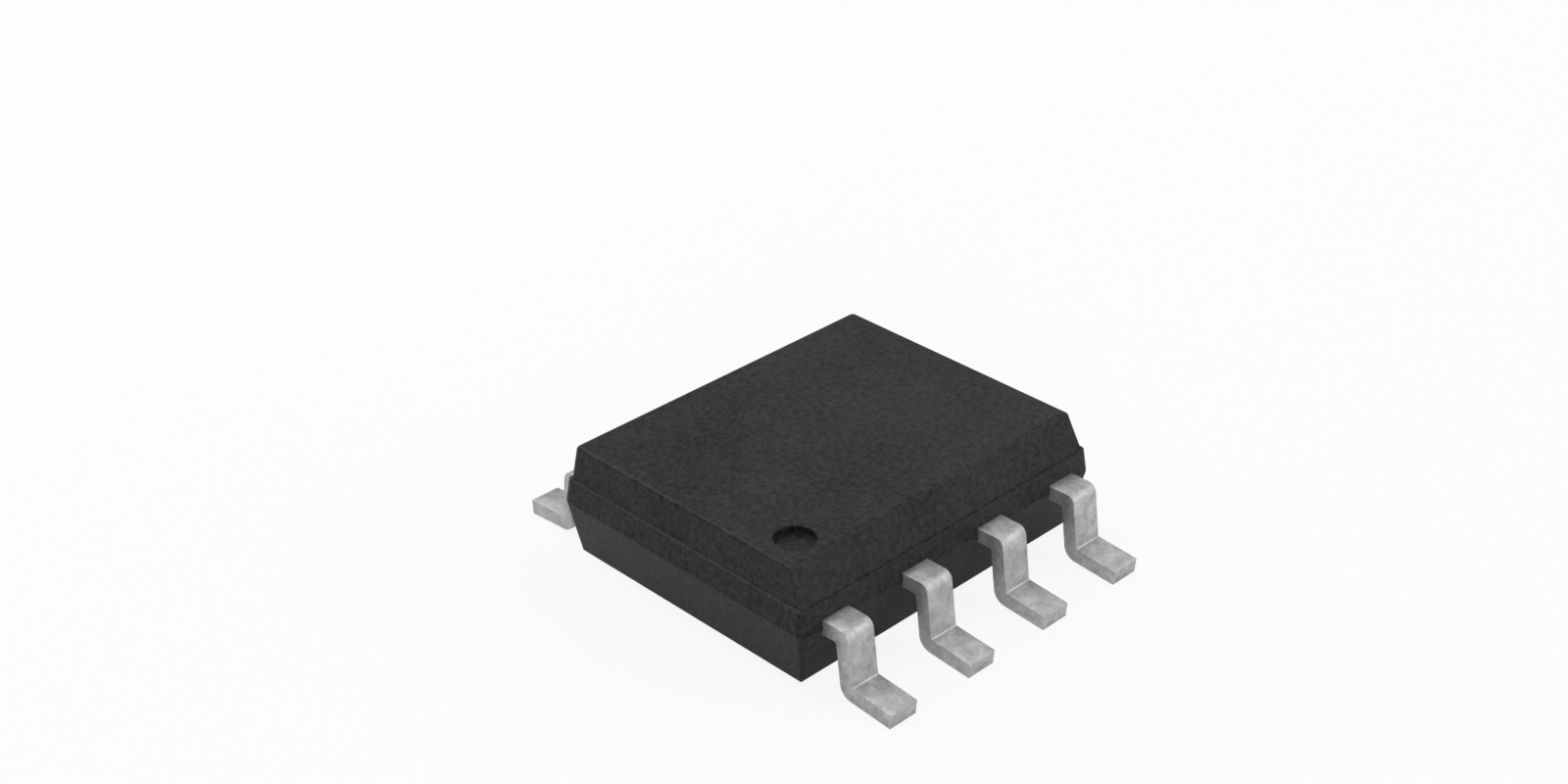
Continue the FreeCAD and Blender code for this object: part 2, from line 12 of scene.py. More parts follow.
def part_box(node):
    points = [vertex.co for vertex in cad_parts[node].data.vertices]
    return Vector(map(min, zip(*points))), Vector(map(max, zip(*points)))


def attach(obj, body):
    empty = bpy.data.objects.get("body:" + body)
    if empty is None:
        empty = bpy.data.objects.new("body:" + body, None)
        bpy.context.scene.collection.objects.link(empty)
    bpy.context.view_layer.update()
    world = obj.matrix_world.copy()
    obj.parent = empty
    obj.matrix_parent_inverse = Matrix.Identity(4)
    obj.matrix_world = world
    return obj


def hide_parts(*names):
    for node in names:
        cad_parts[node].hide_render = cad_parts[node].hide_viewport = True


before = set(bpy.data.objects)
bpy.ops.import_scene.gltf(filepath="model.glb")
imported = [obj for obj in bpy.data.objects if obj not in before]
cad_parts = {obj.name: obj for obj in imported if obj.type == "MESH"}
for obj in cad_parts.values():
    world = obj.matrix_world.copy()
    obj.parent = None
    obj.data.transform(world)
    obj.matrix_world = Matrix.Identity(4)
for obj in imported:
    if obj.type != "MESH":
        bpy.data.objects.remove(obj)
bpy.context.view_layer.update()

# The moulded body
# One block of black epoxy filled with ground silica, cast round the lead frame in a steel mould of
# two halves. Its walls lean in from the line where the halves part, with a narrow ledge above that
# line, and the spark-eroded steel leaves the surface matt.
MM = 0.001
SAME_POINT = 1e-5
LEAD_SHEET = 0.19
UPPER_DRAFT = math.radians(7.2)
LOWER_DRAFT = math.radians(11.5)
LEDGE_HEIGHT, LEDGE_STEP, LEDGE_SLOPE = 0.29, 0.03, 0.02
BEVEL_INSET, BEVEL_LEAN = 0.187, math.radians(28)
TOP_ROUNDING = 0.055
BASE_CORNER, SEAM_CORNER, TOP_CORNER = 0.015, 0.10, 0.06
DIMPLE_RADIUS, DIMPLE_DEPTH, DIMPLE_ROUNDING = 0.24, 0.10, 0.015
DIMPLE_FROM_END, DIMPLE_FROM_SIDE = 0.575, 0.67
CORNER_STEPS, LEDGE_STEPS, EDGE_STEPS, DIMPLE_STEPS, RIM_STEPS = 8, 10, 6, 72, 5
SHARP_FROM, LARGE_FACES_FIRST = math.radians(15), 100

body_low, body_high = (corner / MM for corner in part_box("moulded_body"))
frame_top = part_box("lead_1")[1].z / MM
half_length, half_width = body_high.x, body_high.y
top_z, base_z = body_high.z, body_low.z
seam_z = frame_top - LEAD_SHEET / 2
ledge_foot = seam_z + LEDGE_HEIGHT
ledge_head = ledge_foot + LEDGE_SLOPE
foot_inset = LEDGE_HEIGHT * math.tan(UPPER_DRAFT)
head_inset = foot_inset + LEDGE_STEP
top_inset = (top_z - seam_z) * math.tan(UPPER_DRAFT) + LEDGE_STEP
upper_lean = math.atan((top_inset - head_inset) / (top_z - ledge_head))


def stand_out(top_offset, lean, z):
    """How far out a wall stands at a height, with the rounding that joins it to the top face."""
    centre_z = top_z - TOP_ROUNDING
    if z <= centre_z + TOP_ROUNDING * math.sin(lean):
        return top_offset + (top_z - z) * math.tan(lean)
    centre = top_offset - TOP_ROUNDING * (1 - math.sin(lean)) / math.cos(lean)
    return centre + math.sqrt(max(TOP_ROUNDING**2 - (z - centre_z) ** 2, 0))


def reach(half, z):
    """Half the length or width of the moulding at a height."""
    if z >= ledge_head:
        return stand_out(half - top_inset, upper_lean, z)
    if z > ledge_foot:
        share = (z - ledge_foot) / LEDGE_SLOPE
        return half - foot_inset - LEDGE_STEP * share * share * (3 - 2 * share)
    if z > seam_z:
        return half - (z - seam_z) * math.tan(UPPER_DRAFT)
    return half - (seam_z - z) * math.tan(LOWER_DRAFT)


def upright_corner(z):
    """Radius of the upright corners at a height, less what the top edge's rounding takes off it."""
    if z < seam_z:
        share = (seam_z - z) / (seam_z - base_z)
        return SEAM_CORNER + (BASE_CORNER - SEAM_CORNER) * share
    share = (z - seam_z) / (top_z - seam_z)
    unrounded = half_width - top_inset + (top_z - z) * math.tan(upper_lean)
    taken = max(unrounded - reach(half_width, z), 0) if z > ledge_head else 0
    return SEAM_CORNER + (TOP_CORNER - SEAM_CORNER) * share - taken


def level_line(z, bevelled):
    """The points round the moulding at a height; the bevel holds back the side of leads 1 to 4."""
    corner, half_x, half_y = upright_corner(z), reach(half_length, z), reach(half_width, z)
    bevel_y = stand_out(half_width - top_inset - BEVEL_INSET, BEVEL_LEAN, z)
    points = []
    for quarter in range(4):
        out_x = half_x - corner if quarter in (0, 3) else corner - half_x
        out_y = half_y - corner if quarter in (0, 1) else corner - half_y
        for step in range(CORNER_STEPS + 1):
            turn = (quarter + step / CORNER_STEPS) * math.pi / 2
            x, y = out_x + corner * math.cos(turn), out_y + corner * math.sin(turn)
            points.append((x, max(y, -bevel_y) if bevelled else y, z))
    return points


left_to_turn = math.pi / 2 - BEVEL_LEAN
edge_turns = [upper_lean, (upper_lean + BEVEL_LEAN) / 2]
edge_turns += [BEVEL_LEAN + left_to_turn * step / EDGE_STEPS for step in range(EDGE_STEPS + 1)]
edge_heights = [top_z - TOP_ROUNDING * (1 - math.sin(turn)) for turn in edge_turns]
ledge_heights = [ledge_foot + LEDGE_SLOPE * step / LEDGE_STEPS for step in range(LEDGE_STEPS + 1)]
ledge_middle = LEDGE_STEPS // 2
levels = [(base_z, False), (seam_z, False)]
levels += [(z, False) for z in ledge_heights[:ledge_middle + 1]]
levels += [(z, True) for z in ledge_heights[ledge_middle:]]
levels += [(z, True) for z in edge_heights]

shell = bmesh.new()
rings = [[shell.verts.new(point) for point in level_line(*level)] for level in levels]
for lower, upper in zip(rings, rings[1:]):
    for here in range(len(lower)):
        there = (here + 1) % len(lower)
        shell.faces.new((lower[here], lower[there], upper[there], upper[here]))
shell.faces.new(list(reversed(rings[0])))
shell.faces.new(rings[-1])
bmesh.ops.remove_doubles(shell, verts=shell.verts, dist=SAME_POINT)
bmesh.ops.dissolve_degenerate(shell, edges=shell.edges, dist=SAME_POINT)
shell_mesh = bpy.data.meshes.new("moulding")
shell.to_mesh(shell_mesh)
shell.free()


def turned_piece(name, profile, steps):
    """A closed mesh turned about Z from a profile of (radius, height), with a flat face at each end."""
    turned = bmesh.new()
    turns = [2 * math.pi * step / steps for step in range(steps)]
    loops = [
        [turned.verts.new((radius * math.cos(turn), radius * math.sin(turn), z)) for turn in turns]
        for radius, z in profile
    ]
    for lower, upper in zip(loops, loops[1:]):
        for here in range(steps):
            there = (here + 1) % steps
            turned.faces.new((lower[here], lower[there], upper[there], upper[here]))
    turned.faces.new(list(reversed(loops[0])))
    turned.faces.new(loops[-1])
    mesh = bpy.data.meshes.new(name)
    turned.to_mesh(mesh)
    turned.free()
    return mesh


def rim_arc(centre_r, centre_z, first, last):
    """The (radius, height) points of a rounding in the dimple, between two angles in degrees."""
    turns = [math.radians(first + (last - first) * step / RIM_STEPS) for step in range(RIM_STEPS + 1)]
    return [
        (centre_r + DIMPLE_ROUNDING * math.cos(turn), centre_z + DIMPLE_ROUNDING * math.sin(turn))
        for turn in turns
    ]


floor_z, lip_radius = top_z - DIMPLE_DEPTH, DIMPLE_RADIUS + DIMPLE_ROUNDING
dimple_profile = rim_arc(DIMPLE_RADIUS - DIMPLE_ROUNDING, floor_z + DIMPLE_ROUNDING, first=-90, last=0)
dimple_profile += rim_arc(lip_radius, top_z - DIMPLE_ROUNDING, first=180, last=90)
dimple_profile += [(lip_radius, top_z + DIMPLE_DEPTH)]


def add_piece(name, mesh):
    """An object for the mesh, in the scene."""
    piece = bpy.data.objects.new(name, mesh)
    bpy.context.scene.collection.objects.link(piece)
    return piece


def settle(piece):
    """Turns the piece and its modifiers into one plain mesh."""
    evaluated = piece.evaluated_get(bpy.context.evaluated_depsgraph_get())
    mesh = bpy.data.meshes.new_from_object(evaluated)
    mesh.name = piece.name
    piece.modifiers.clear()
    piece.data = mesh


def smooth_round_bends(piece, sharp_from):
    """Smooth shading, except across edges that turn sharply, with the large flat faces kept flat."""
    for face in piece.data.polygons:
        face.use_smooth = True
    edges = bmesh.new()
    edges.from_mesh(piece.data)
    for edge in edges.edges:
        edge.smooth = len(edge.link_faces) == 2 and edge.calc_face_angle() < sharp_from
    edges.to_mesh(piece.data)
    edges.free()
    weighted = piece.modifiers.new("flat faces first", "WEIGHTED_NORMAL")
    weighted.weight = LARGE_FACES_FIRST
    weighted.keep_sharp = True
    settle(piece)


cutter = add_piece("dimple_cutter", turned_piece("dimple_cutter", dimple_profile, DIMPLE_STEPS))
cutter.location = (DIMPLE_FROM_END - half_length, DIMPLE_FROM_SIDE - half_width, 0)
moulding = add_piece("moulding", shell_mesh)
dimple = moulding.modifiers.new("dimple", "BOOLEAN")
dimple.operation, dimple.solver, dimple.object = "DIFFERENCE", "EXACT", cutter
settle(moulding)
bpy.data.objects.remove(cutter)
moulding.data.transform(Matrix.Scale(MM, 4))
smooth_round_bends(moulding, SHARP_FROM)


class Wire:
    """A node's output that takes part in Python arithmetic and adds Math nodes to its tree."""

    def __init__(self, nodes, socket):
        self.nodes, self.socket = nodes, socket

    def output(self, name):
        """Another output of the same node."""
        return Wire(self.nodes, self.socket.node.outputs[name])

    def maths(self, operation, *values):
        """A Math node in the same tree."""
        return self.nodes.add("ShaderNodeMath", {"operation": operation}, dict(enumerate(values)))

    def __add__(self, other):
        return self.maths("ADD", self, other)

    def __radd__(self, other):
        return self.maths("ADD", other, self)

    def __sub__(self, other):
        return self.maths("SUBTRACT", self, other)

    def __rsub__(self, other):
        return self.maths("SUBTRACT", other, self)

    def __mul__(self, other):
        return self.maths("MULTIPLY", self, other)

    def __rmul__(self, other):
        return self.maths("MULTIPLY", other, self)

    def __gt__(self, other):
        return self.maths("GREATER_THAN", self, other)

    def __abs__(self):
        return self.maths("ABSOLUTE", self)


class Nodes:
    """A node tree to which nodes are added with their settings and inputs in one call."""

    def __init__(self, tree):
        self.tree = tree

    def add(self, kind, settings=None, inputs=None, output=0):
        """A node of a kind; its output is returned, or the node itself if it has none."""
        node = self.tree.nodes.new(kind)
        for name, setting in (settings or {}).items():
            setattr(node, name, setting)
        for key, given in (inputs or {}).items():
            self.give(node.inputs[key], given)
        return Wire(self, node.outputs[output]) if node.outputs else node

    def give(self, socket, given):
        """Links a wire or several to a socket, or sets the socket to a value."""
        for each in given if isinstance(given, list) else [given]:
            if isinstance(each, Wire):
                self.tree.links.new(each.socket, socket)
            else:
                socket.default_value = each

    def mix(self, share, first, second):
        """A colour between two colours, which a Mix node takes at sockets 6 and 7 and gives at 2."""
        settings = {"data_type": "RGBA"}
        return self.add("ShaderNodeMix", settings, {0: share, 6: first, 7: second}, output=2)

    def noise(self, place, scale, detail, roughness=0.5):
        """A soft random pattern between 0 and 1, mostly near one half."""
        inputs = {"Vector": place, "Scale": scale, "Detail": detail, "Roughness": roughness}
        return self.add("ShaderNodeTexNoise", None, inputs)


def new_finish(name, **constants):
    """A material, its nodes, its surface shader and the piece's own coordinates in metres."""
    material = bpy.data.materials.new(name)
    material.use_nodes = True
    nodes = Nodes(material.node_tree)
    shader = material.node_tree.nodes["Principled BSDF"]
    for socket, constant in constants.items():
        shader.inputs[socket.replace("_", " ")].default_value = constant
    place = nodes.add("ShaderNodeTexCoord", output="Object")
    return material, nodes, shader, place


def grey(level):
    """A neutral colour."""
    return (level, level, level, 1.0)


def stretched(pattern, contrast):
    """A pattern round one half with its contrast raised."""
    return (pattern - 0.5) * contrast + 0.5


def roughened(nodes, shader, pattern, smoothest, spread):
    """Varies the surface's roughness with a pattern."""
    nodes.give(shader.inputs["Roughness"], smoothest + spread * pattern)


def embossed(nodes, shader, pattern, depth, strength):
    """Raises a pattern a little from the surface."""
    relief = {"Strength": strength, "Distance": depth * MM, "Height": pattern}
    nodes.give(shader.inputs["Normal"], nodes.add("ShaderNodeBump", None, relief))


FLOW_CLOUD, SPARK_GRAIN, FILLER_GRAIN = 700, 15000, 40000
DARK_RESIN, PALE_RESIN, SPECKLE_CONTRAST = grey(0.004), grey(0.039), 3.6
mould_compound, nodes, shader, place = new_finish("mould_compound", Specular_IOR_Level=0.16)
cloud = nodes.noise(place, FLOW_CLOUD, detail=2)
grain = nodes.noise(place, SPARK_GRAIN, detail=3, roughness=0.6)
filler = nodes.noise(place, FILLER_GRAIN, detail=1)
speckle = stretched(0.2 * cloud + 0.6 * grain + 0.2 * filler, SPECKLE_CONTRAST)
nodes.give(shader.inputs["Base Color"], nodes.mix(speckle, DARK_RESIN, PALE_RESIN))
roughened(nodes, shader, grain, smoothest=0.34, spread=0.14)
embossed(nodes, shader, grain, depth=0.005, strength=0.6)

moulding.data.materials.clear()
moulding.data.materials.append(mould_compound)
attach(moulding, "root")
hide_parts("moulded_body")

# The eight leads
# Each is one strip of copper alloy, punched from the lead frame and plated with matt tin where it
# leaves the body. Outside it is bent down and out like a gull's wing. Inside it widens to a bonding
# finger with a hole that the epoxy fills.
LEAD_WIDTH, SHOULDER_REACH = 0.41, 0.353
LEAD_LEAN, FOOT_DIP = math.radians(8), math.radians(4.4)
SHOULDER_OUTSIDE, SHOULDER_INSIDE, HEEL, INSTEP = 0.12, 0.03, 0.18, 0.03
NECK_DEPTH, LOCK_HOLE, LOCK_HOLE_INSET = 0.215, 0.22, 0.22
PUNCHED_EDGE, PUNCHED_EDGE_STEPS, SLIVER = 0.008, 3, 1e-4
ROUNDED_FROM, CREASED_FROM = math.radians(35), math.radians(40)
BEND_STEPS, HOLE_STEPS = 12, 48
PITCH, LEADS_A_SIDE = 1.27, 4

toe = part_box("lead_2")[0].y / -MM
neck_end = half_width - NECK_DEPTH


def crossing(point, direction, other, other_direction):
    """Where two lines in a plane meet."""
    (px, py), (dx, dy) = point, direction
    (qx, qy), (ex, ey) = other, other_direction
    along = ((qx - px) * ey - (qy - py) * ex) / (dx * ey - dy * ex)
    return (px + along * dx, py + along * dy)


def gull_wing():
    """The lead's side view as (outwards, up, bend radius), before its corners are rounded."""
    outwards = (1, 0)
    leg = (math.sin(LEAD_LEAN), -math.cos(LEAD_LEAN))
    foot = (math.cos(FOOT_DIP), -math.sin(FOOT_DIP))
    shoulder = (half_width + SHOULDER_REACH, frame_top)
    inside = (shoulder[0] + LEAD_SHEET * leg[1], shoulder[1] - LEAD_SHEET * leg[0])
    toe_top = (toe, LEAD_SHEET * foot[0])
    toe_tip = (toe + LEAD_SHEET * foot[1], 0)
    instep = crossing(shoulder, leg, toe_top, foot)
    heel = crossing(inside, leg, toe_tip, foot)
    armpit = crossing(inside, leg, (neck_end, frame_top - LEAD_SHEET), outwards)
    corners = [(neck_end, frame_top - LEAD_SHEET, 0), (*armpit, SHOULDER_INSIDE), (*heel, HEEL)]
    corners += [(*toe_tip, 0), (*toe_top, 0), (*instep, INSTEP), (*shoulder, SHOULDER_OUTSIDE)]
    return corners + [(neck_end, frame_top, 0)]


def path_mesh(name, corners, closed):
    """Points joined in order, each with the radius of its bend, for a node tree to work on."""
    mesh = bpy.data.meshes.new(name)
    edges = [(here, here + 1) for here in range(len(corners) - 1)]
    if closed:
        edges.append((len(corners) - 1, 0))
    mesh.from_pydata([(u, v, 0) for u, v, _ in corners], edges, [])
    bends = mesh.attributes.new("bend", "FLOAT", "POINT")
    bends.data.foreach_set("value", [radius for _, _, radius in corners])
    return mesh


def new_form(name, sizes):
    """A geometry tree with named number inputs, a material input and one geometry output."""
    tree = bpy.data.node_groups.new(name, "GeometryNodeTree")
    tree.interface.new_socket("Path", in_out="INPUT", socket_type="NodeSocketGeometry")
    for size in sizes:
        tree.interface.new_socket(size, in_out="INPUT", socket_type="NodeSocketFloat")
    tree.interface.new_socket("Finish", in_out="INPUT", socket_type="NodeSocketMaterial")
    tree.interface.new_socket("Piece", in_out="OUTPUT", socket_type="NodeSocketGeometry")
    nodes = Nodes(tree)
    return tree, nodes, nodes.add("NodeGroupInput")


def rounded_path(nodes, path):
    """The path as a curve with its bends rounded."""
    curve = nodes.add("GeometryNodeMeshToCurve", None, {"Mesh": path})
    bend = nodes.add("GeometryNodeInputNamedAttribute", {"data_type": "FLOAT"}, {"Name": "bend"})
    inputs = {"Curve": curve, "Count": BEND_STEPS, "Radius": bend}
    return nodes.add("GeometryNodeFilletCurve", {"mode": "POLY"}, inputs)


def welded(nodes, geometry, gap):
    """The geometry with the points that lie within the gap of each other made one."""
    return nodes.add("GeometryNodeMergeByDistance", None, {"Geometry": geometry, "Distance": gap})


def plate(nodes, outline, thickness):
    """The area inside flat curves, made a solid of that thickness on its upper side."""
    face = nodes.add("GeometryNodeFillCurve", {"mode": "NGONS"}, {"Curve": outline})
    raised = {"Mesh": face, "Offset": (0, 0, 1), "Offset Scale": thickness, "Individual": False}
    extruded = nodes.add("GeometryNodeExtrudeMesh", {"mode": "FACES"}, raised)
    underside = nodes.add("GeometryNodeFlipFaces", None, {"Mesh": face})
    both = nodes.add("GeometryNodeJoinGeometry", None, {"Geometry": [extruded, underside]})
    return welded(nodes, both, SAME_POINT)


def vector(nodes, x, y, z):
    """Three numbers as one vector."""
    return nodes.add("ShaderNodeCombineXYZ", None, {"X": x, "Y": y, "Z": z})


def moved(nodes, geometry, x, y, z):
    """The geometry shifted by three numbers."""
    inputs = {"Geometry": geometry, "Translation": vector(nodes, x, y, z)}
    return nodes.add("GeometryNodeTransform", None, inputs)


def points_place(nodes):
    """The place of each point, with the outputs X, Y and Z."""
    place = nodes.add("GeometryNodeInputPosition")
    return nodes.add("ShaderNodeSeparateXYZ", None, {"Vector": place})


def finish_form(nodes, geometry, place, size):
    """The last nodes of every tree: its turn and place in metres, smooth shading and its material."""
    placing = {
        "Geometry": geometry,
        "Translation": vector(nodes, *place),
        "Rotation": vector(nodes, 0, 0, size.output("Turn")),
        "Scale": (MM, MM, MM),
    }
    placed = nodes.add("GeometryNodeTransform", None, placing)
    smooth = nodes.add("GeometryNodeSetShadeSmooth", None, {"Geometry": placed})
    real = nodes.add("GeometryNodeRealizeInstances", None, {"Geometry": smooth})
    finish = {"Geometry": real, "Material": size.output("Finish")}
    nodes.add("NodeGroupOutput", None, {"Piece": nodes.add("GeometryNodeSetMaterial", None, finish)})


def shaped_by(piece, tree, sizes, finish):
    """Gives the piece a modifier that runs the tree with these sizes."""
    modifier = piece.modifiers.new(tree.name, "NODES")
    modifier.node_group = tree
    sockets = {item.name: item.identifier for item in tree.interface.items_tree}
    for name, size in sizes.items():
        modifier[sockets[name]] = float(size)
    modifier[sockets["Finish"]] = finish


lead_form, nodes, size = new_form("lead", [
    "Place", "Turn", "Lead width", "Sheet", "Neck end", "Frame top",
    "Finger centre", "Finger width", "Finger tip", "Hole diameter", "Hole inset",
])
side_view = plate(nodes, rounded_path(nodes, size.output("Path")), size.output("Lead width"))
split = points_place(nodes)
across = split.output("Z") - size.output("Lead width") * 0.5
stood_up = vector(nodes, across, split.output("X"), split.output("Y"))
outer_lead = nodes.add("GeometryNodeSetPosition", None, {"Geometry": side_view, "Position": stood_up})

finger_length = size.output("Neck end") - size.output("Finger tip")
finger_sizes = {"Width": size.output("Finger width"), "Height": finger_length}
finger_outline = nodes.add("GeometryNodeCurvePrimitiveQuadrilateral", None, finger_sizes)
finger_middle = size.output("Neck end") - finger_length * 0.5
finger_outline = moved(nodes, finger_outline, size.output("Finger centre"), finger_middle, 0)
hole_sizes = {"Resolution": HOLE_STEPS, "Radius": size.output("Hole diameter") * 0.5}
hole = nodes.add("GeometryNodeCurvePrimitiveCircle", {"mode": "RADIUS"}, hole_sizes)
hole_place = size.output("Neck end") - size.output("Hole inset")
hole = moved(nodes, hole, size.output("Finger centre"), hole_place, 0)
plan = nodes.add("GeometryNodeJoinGeometry", None, {"Geometry": [finger_outline, hole]})
finger = plate(nodes, plan, size.output("Sheet"))
finger = moved(nodes, finger, 0, 0, size.output("Frame top") - size.output("Sheet"))
union = {"operation": "UNION", "solver": "EXACT"}
one_strip = nodes.add("GeometryNodeMeshBoolean", union, {"Mesh 2": [outer_lead, finger]})
one_strip = welded(nodes, one_strip, SLIVER)
finish_form(nodes, one_strip, (size.output("Place") * MM, 0, 0), size)

TIN_GRAIN, PLATING_CLOUD, TIN_CONTRAST, PLATING_INSET = 16000, 7000, 2.8, 0.06
DULL_TIN, BRIGHT_TIN = grey(0.36), grey(0.66)
BARE_COPPER, WORN_COPPER = (0.75, 0.44, 0.32, 1), (0.82, 0.52, 0.40, 1)
tin_plate, nodes, shader, place = new_finish("tin_plate", Metallic=0.85)
from_middle = abs(nodes.add("ShaderNodeSeparateXYZ", None, {"Vector": place}).output("Y"))
plated = from_middle > (half_width - PLATING_INSET) * MM
grain = nodes.noise(place, TIN_GRAIN, detail=4, roughness=0.6)
cloud = nodes.noise(place, PLATING_CLOUD, detail=3)
tin = nodes.mix(stretched(0.5 * grain + 0.5 * cloud, TIN_CONTRAST), DULL_TIN, BRIGHT_TIN)
copper = nodes.mix(cloud, BARE_COPPER, WORN_COPPER)
nodes.give(shader.inputs["Base Color"], nodes.mix(plated, copper, tin))
roughened(nodes, shader, grain, smoothest=0.4, spread=0.16)
embossed(nodes, shader, grain, depth=0.005, strength=0.4)

for number in range(1, 2 * LEADS_A_SIDE + 1):
    node = f"lead_{number}"
    low, high = (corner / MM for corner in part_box(node))
    near_side = number <= LEADS_A_SIDE
    column = number - 1 if near_side else 2 * LEADS_A_SIDE - number
    centre_x = (column - (LEADS_A_SIDE - 1) / 2) * PITCH
    lead = add_piece(f"formed_{node}", path_mesh(node, gull_wing(), closed=True))
    sizes = {
        "Place": centre_x,
        "Turn": math.pi if near_side else 0,
        "Lead width": LEAD_WIDTH,
        "Sheet": LEAD_SHEET,
        "Neck end": neck_end,
        "Frame top": frame_top,
        "Finger centre": ((low.x + high.x) / 2 - centre_x) * (-1 if near_side else 1),
        "Finger width": high.x - low.x,
        "Finger tip": -high.y if near_side else low.y,
        "Hole diameter": LOCK_HOLE,
        "Hole inset": LOCK_HOLE_INSET,
    }
    shaped_by(lead, lead_form, sizes, tin_plate)
    edges = lead.modifiers.new("punched edges", "BEVEL")
    edges.width, edges.segments = PUNCHED_EDGE * MM, PUNCHED_EDGE_STEPS
    edges.limit_method, edges.angle_limit, edges.use_clamp_overlap = "ANGLE", ROUNDED_FROM, False
    settle(lead)
    smooth_round_bends(lead, CREASED_FROM)
    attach(lead, "root")
    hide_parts(node)

# The island and its tie bars
# The middle of the same punched and bent copper strip, set down below the leads to bring the die
# nearer to their level. The tin never reaches it, so the marks of the rolling mill show.
COPPER_CLOUD, ROLLING_LINES, ROLLING_STRETCH = 1800, 4000, (1, 12, 1)
DEEP_COPPER, PALE_COPPER = (0.72, 0.42, 0.30, 1), (0.83, 0.53, 0.41, 1)
frame_copper, nodes, shader, place = new_finish("frame_copper", Metallic=1.0)
cloud = nodes.noise(place, COPPER_CLOUD, detail=3)
rolled = nodes.add("ShaderNodeMapping", None, {"Vector": place, "Scale": ROLLING_STRETCH})
lines = nodes.noise(rolled, ROLLING_LINES, detail=2)
nodes.give(shader.inputs["Base Color"], nodes.mix(cloud, DEEP_COPPER, PALE_COPPER))
roughened(nodes, shader, lines, smoothest=0.3, spread=0.2)
embossed(nodes, shader, lines, depth=0.003, strength=0.2)


def dress(node, material):
    """Gives a node that keeps its own shape its material."""
    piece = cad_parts[node]
    piece.data.materials.clear()
    piece.data.materials.append(material)


dress("die_paddle", frame_copper)

# The die attach
# A thin layer of epoxy full of silver flakes, dispensed on the island and cured under the die. It
# holds the die and carries its heat down into the copper.
SILVER_FLAKES, FLAKE_METAL, FLAKE_SHADE, FLAKE_LIGHT = 60000, 0.4, grey(0.42), grey(0.66)
die_adhesive, nodes, shader, place = new_finish("die_adhesive")
flakes = nodes.add("ShaderNodeTexVoronoi", None, {"Vector": place, "Scale": SILVER_FLAKES})
nodes.give(shader.inputs["Base Color"], nodes.mix(flakes, FLAKE_SHADE, FLAKE_LIGHT))
nodes.give(shader.inputs["Metallic"], FLAKE_METAL * flakes)
roughened(nodes, shader, flakes, smoothest=0.45, spread=0.3)
dress("die_attach", die_adhesive)

# The silicon die
# A chip sawn from a polished wafer. Its circuit is rows of cells in larger blocks, with metal lines
# between the rows, under a glassy coat of nitride.
CELL_ROWS, CIRCUIT_BLOCKS, BLOCK_TINT, COAT_CLOUD = 9000, 4200, 0.25, 5000
CELL_BLUE, CELL_VIOLET = (0.16, 0.17, 0.21, 1), (0.24, 0.22, 0.27, 1)
METAL_LINE, LINE_WIDTH, CELL_WIDTH, ROW_HEIGHT = (0.34, 0.33, 0.36, 1), 0.04, 0.9, 0.45
silicon, nodes, shader, place = new_finish(
    "silicon", Metallic=0.35, Coat_Weight=0.6, Coat_Roughness=0.08,
)
cells = nodes.add("ShaderNodeTexBrick", None, {
    "Vector": place, "Scale": CELL_ROWS, "Brick Width": CELL_WIDTH, "Row Height": ROW_HEIGHT,
    "Mortar Size": LINE_WIDTH, "Color1": CELL_BLUE, "Color2": CELL_VIOLET, "Mortar": METAL_LINE,
})
block_places = {"Vector": place, "Scale": CIRCUIT_BLOCKS}
blocks = nodes.add("ShaderNodeTexVoronoi", {"distance": "CHEBYCHEV"}, block_places, output="Color")
nodes.give(shader.inputs["Base Color"], nodes.mix(BLOCK_TINT, cells, blocks))
cloud = nodes.noise(place, COAT_CLOUD, detail=2)
roughened(nodes, shader, cloud, smoothest=0.2, spread=0.15)
dress("silicon_die", silicon)

# The bond wires
# Drawn gold wire, thinner than a hair. A ball is pressed onto a pad of the die, the wire rises and
# runs down to the finger, and its other end is crushed onto the finger as a stitch.
WIRE_RADIUS, BALL_RADIUS, BALL_HEIGHT = 0.0165, 0.04, 0.03
STITCH_RADIUS, STITCH_HEIGHT, WIRE_RISE, LOOP_RADIUS = 0.06, 0.04, 0.10, 0.08
WIRE_STEPS, BLOB_STEPS, BLOB_RINGS = 16, 24, 12
die_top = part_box("silicon_die")[1].z / MM

wire_form, nodes, size = new_form("bond_wire", ["Reach", "Landing", "Turn", "Pad X", "Pad Y", "Pad Z"])
drawn_round = {"Resolution": WIRE_STEPS, "Radius": WIRE_RADIUS}
section = nodes.add("GeometryNodeCurvePrimitiveCircle", {"mode": "RADIUS"}, drawn_round)
line = rounded_path(nodes, size.output("Path"))
drawn = {"Curve": line, "Profile Curve": section, "Fill Caps": True}
wire = nodes.add("GeometryNodeCurveToMesh", None, drawn)
split = points_place(nodes)
stood_up = vector(nodes, split.output("X"), -1.0 * split.output("Z"), split.output("Y"))
wire = nodes.add("GeometryNodeSetPosition", None, {"Geometry": wire, "Position": stood_up})


def pressed_blob(nodes, radius, height):
    """A ball of gold pressed flat onto what it stands on."""
    round_sizes = {"Segments": BLOB_STEPS, "Rings": BLOB_RINGS, "Radius": radius}
    blob = nodes.add("GeometryNodeMeshUVSphere", None, round_sizes)
    split = points_place(nodes)
    squeezed = split.output("Z") * (height / radius)
    flat_below = squeezed.maths("MAXIMUM", squeezed, 0.0)
    pressed = vector(nodes, split.output("X"), split.output("Y"), flat_below)
    return nodes.add("GeometryNodeSetPosition", None, {"Geometry": blob, "Position": pressed})


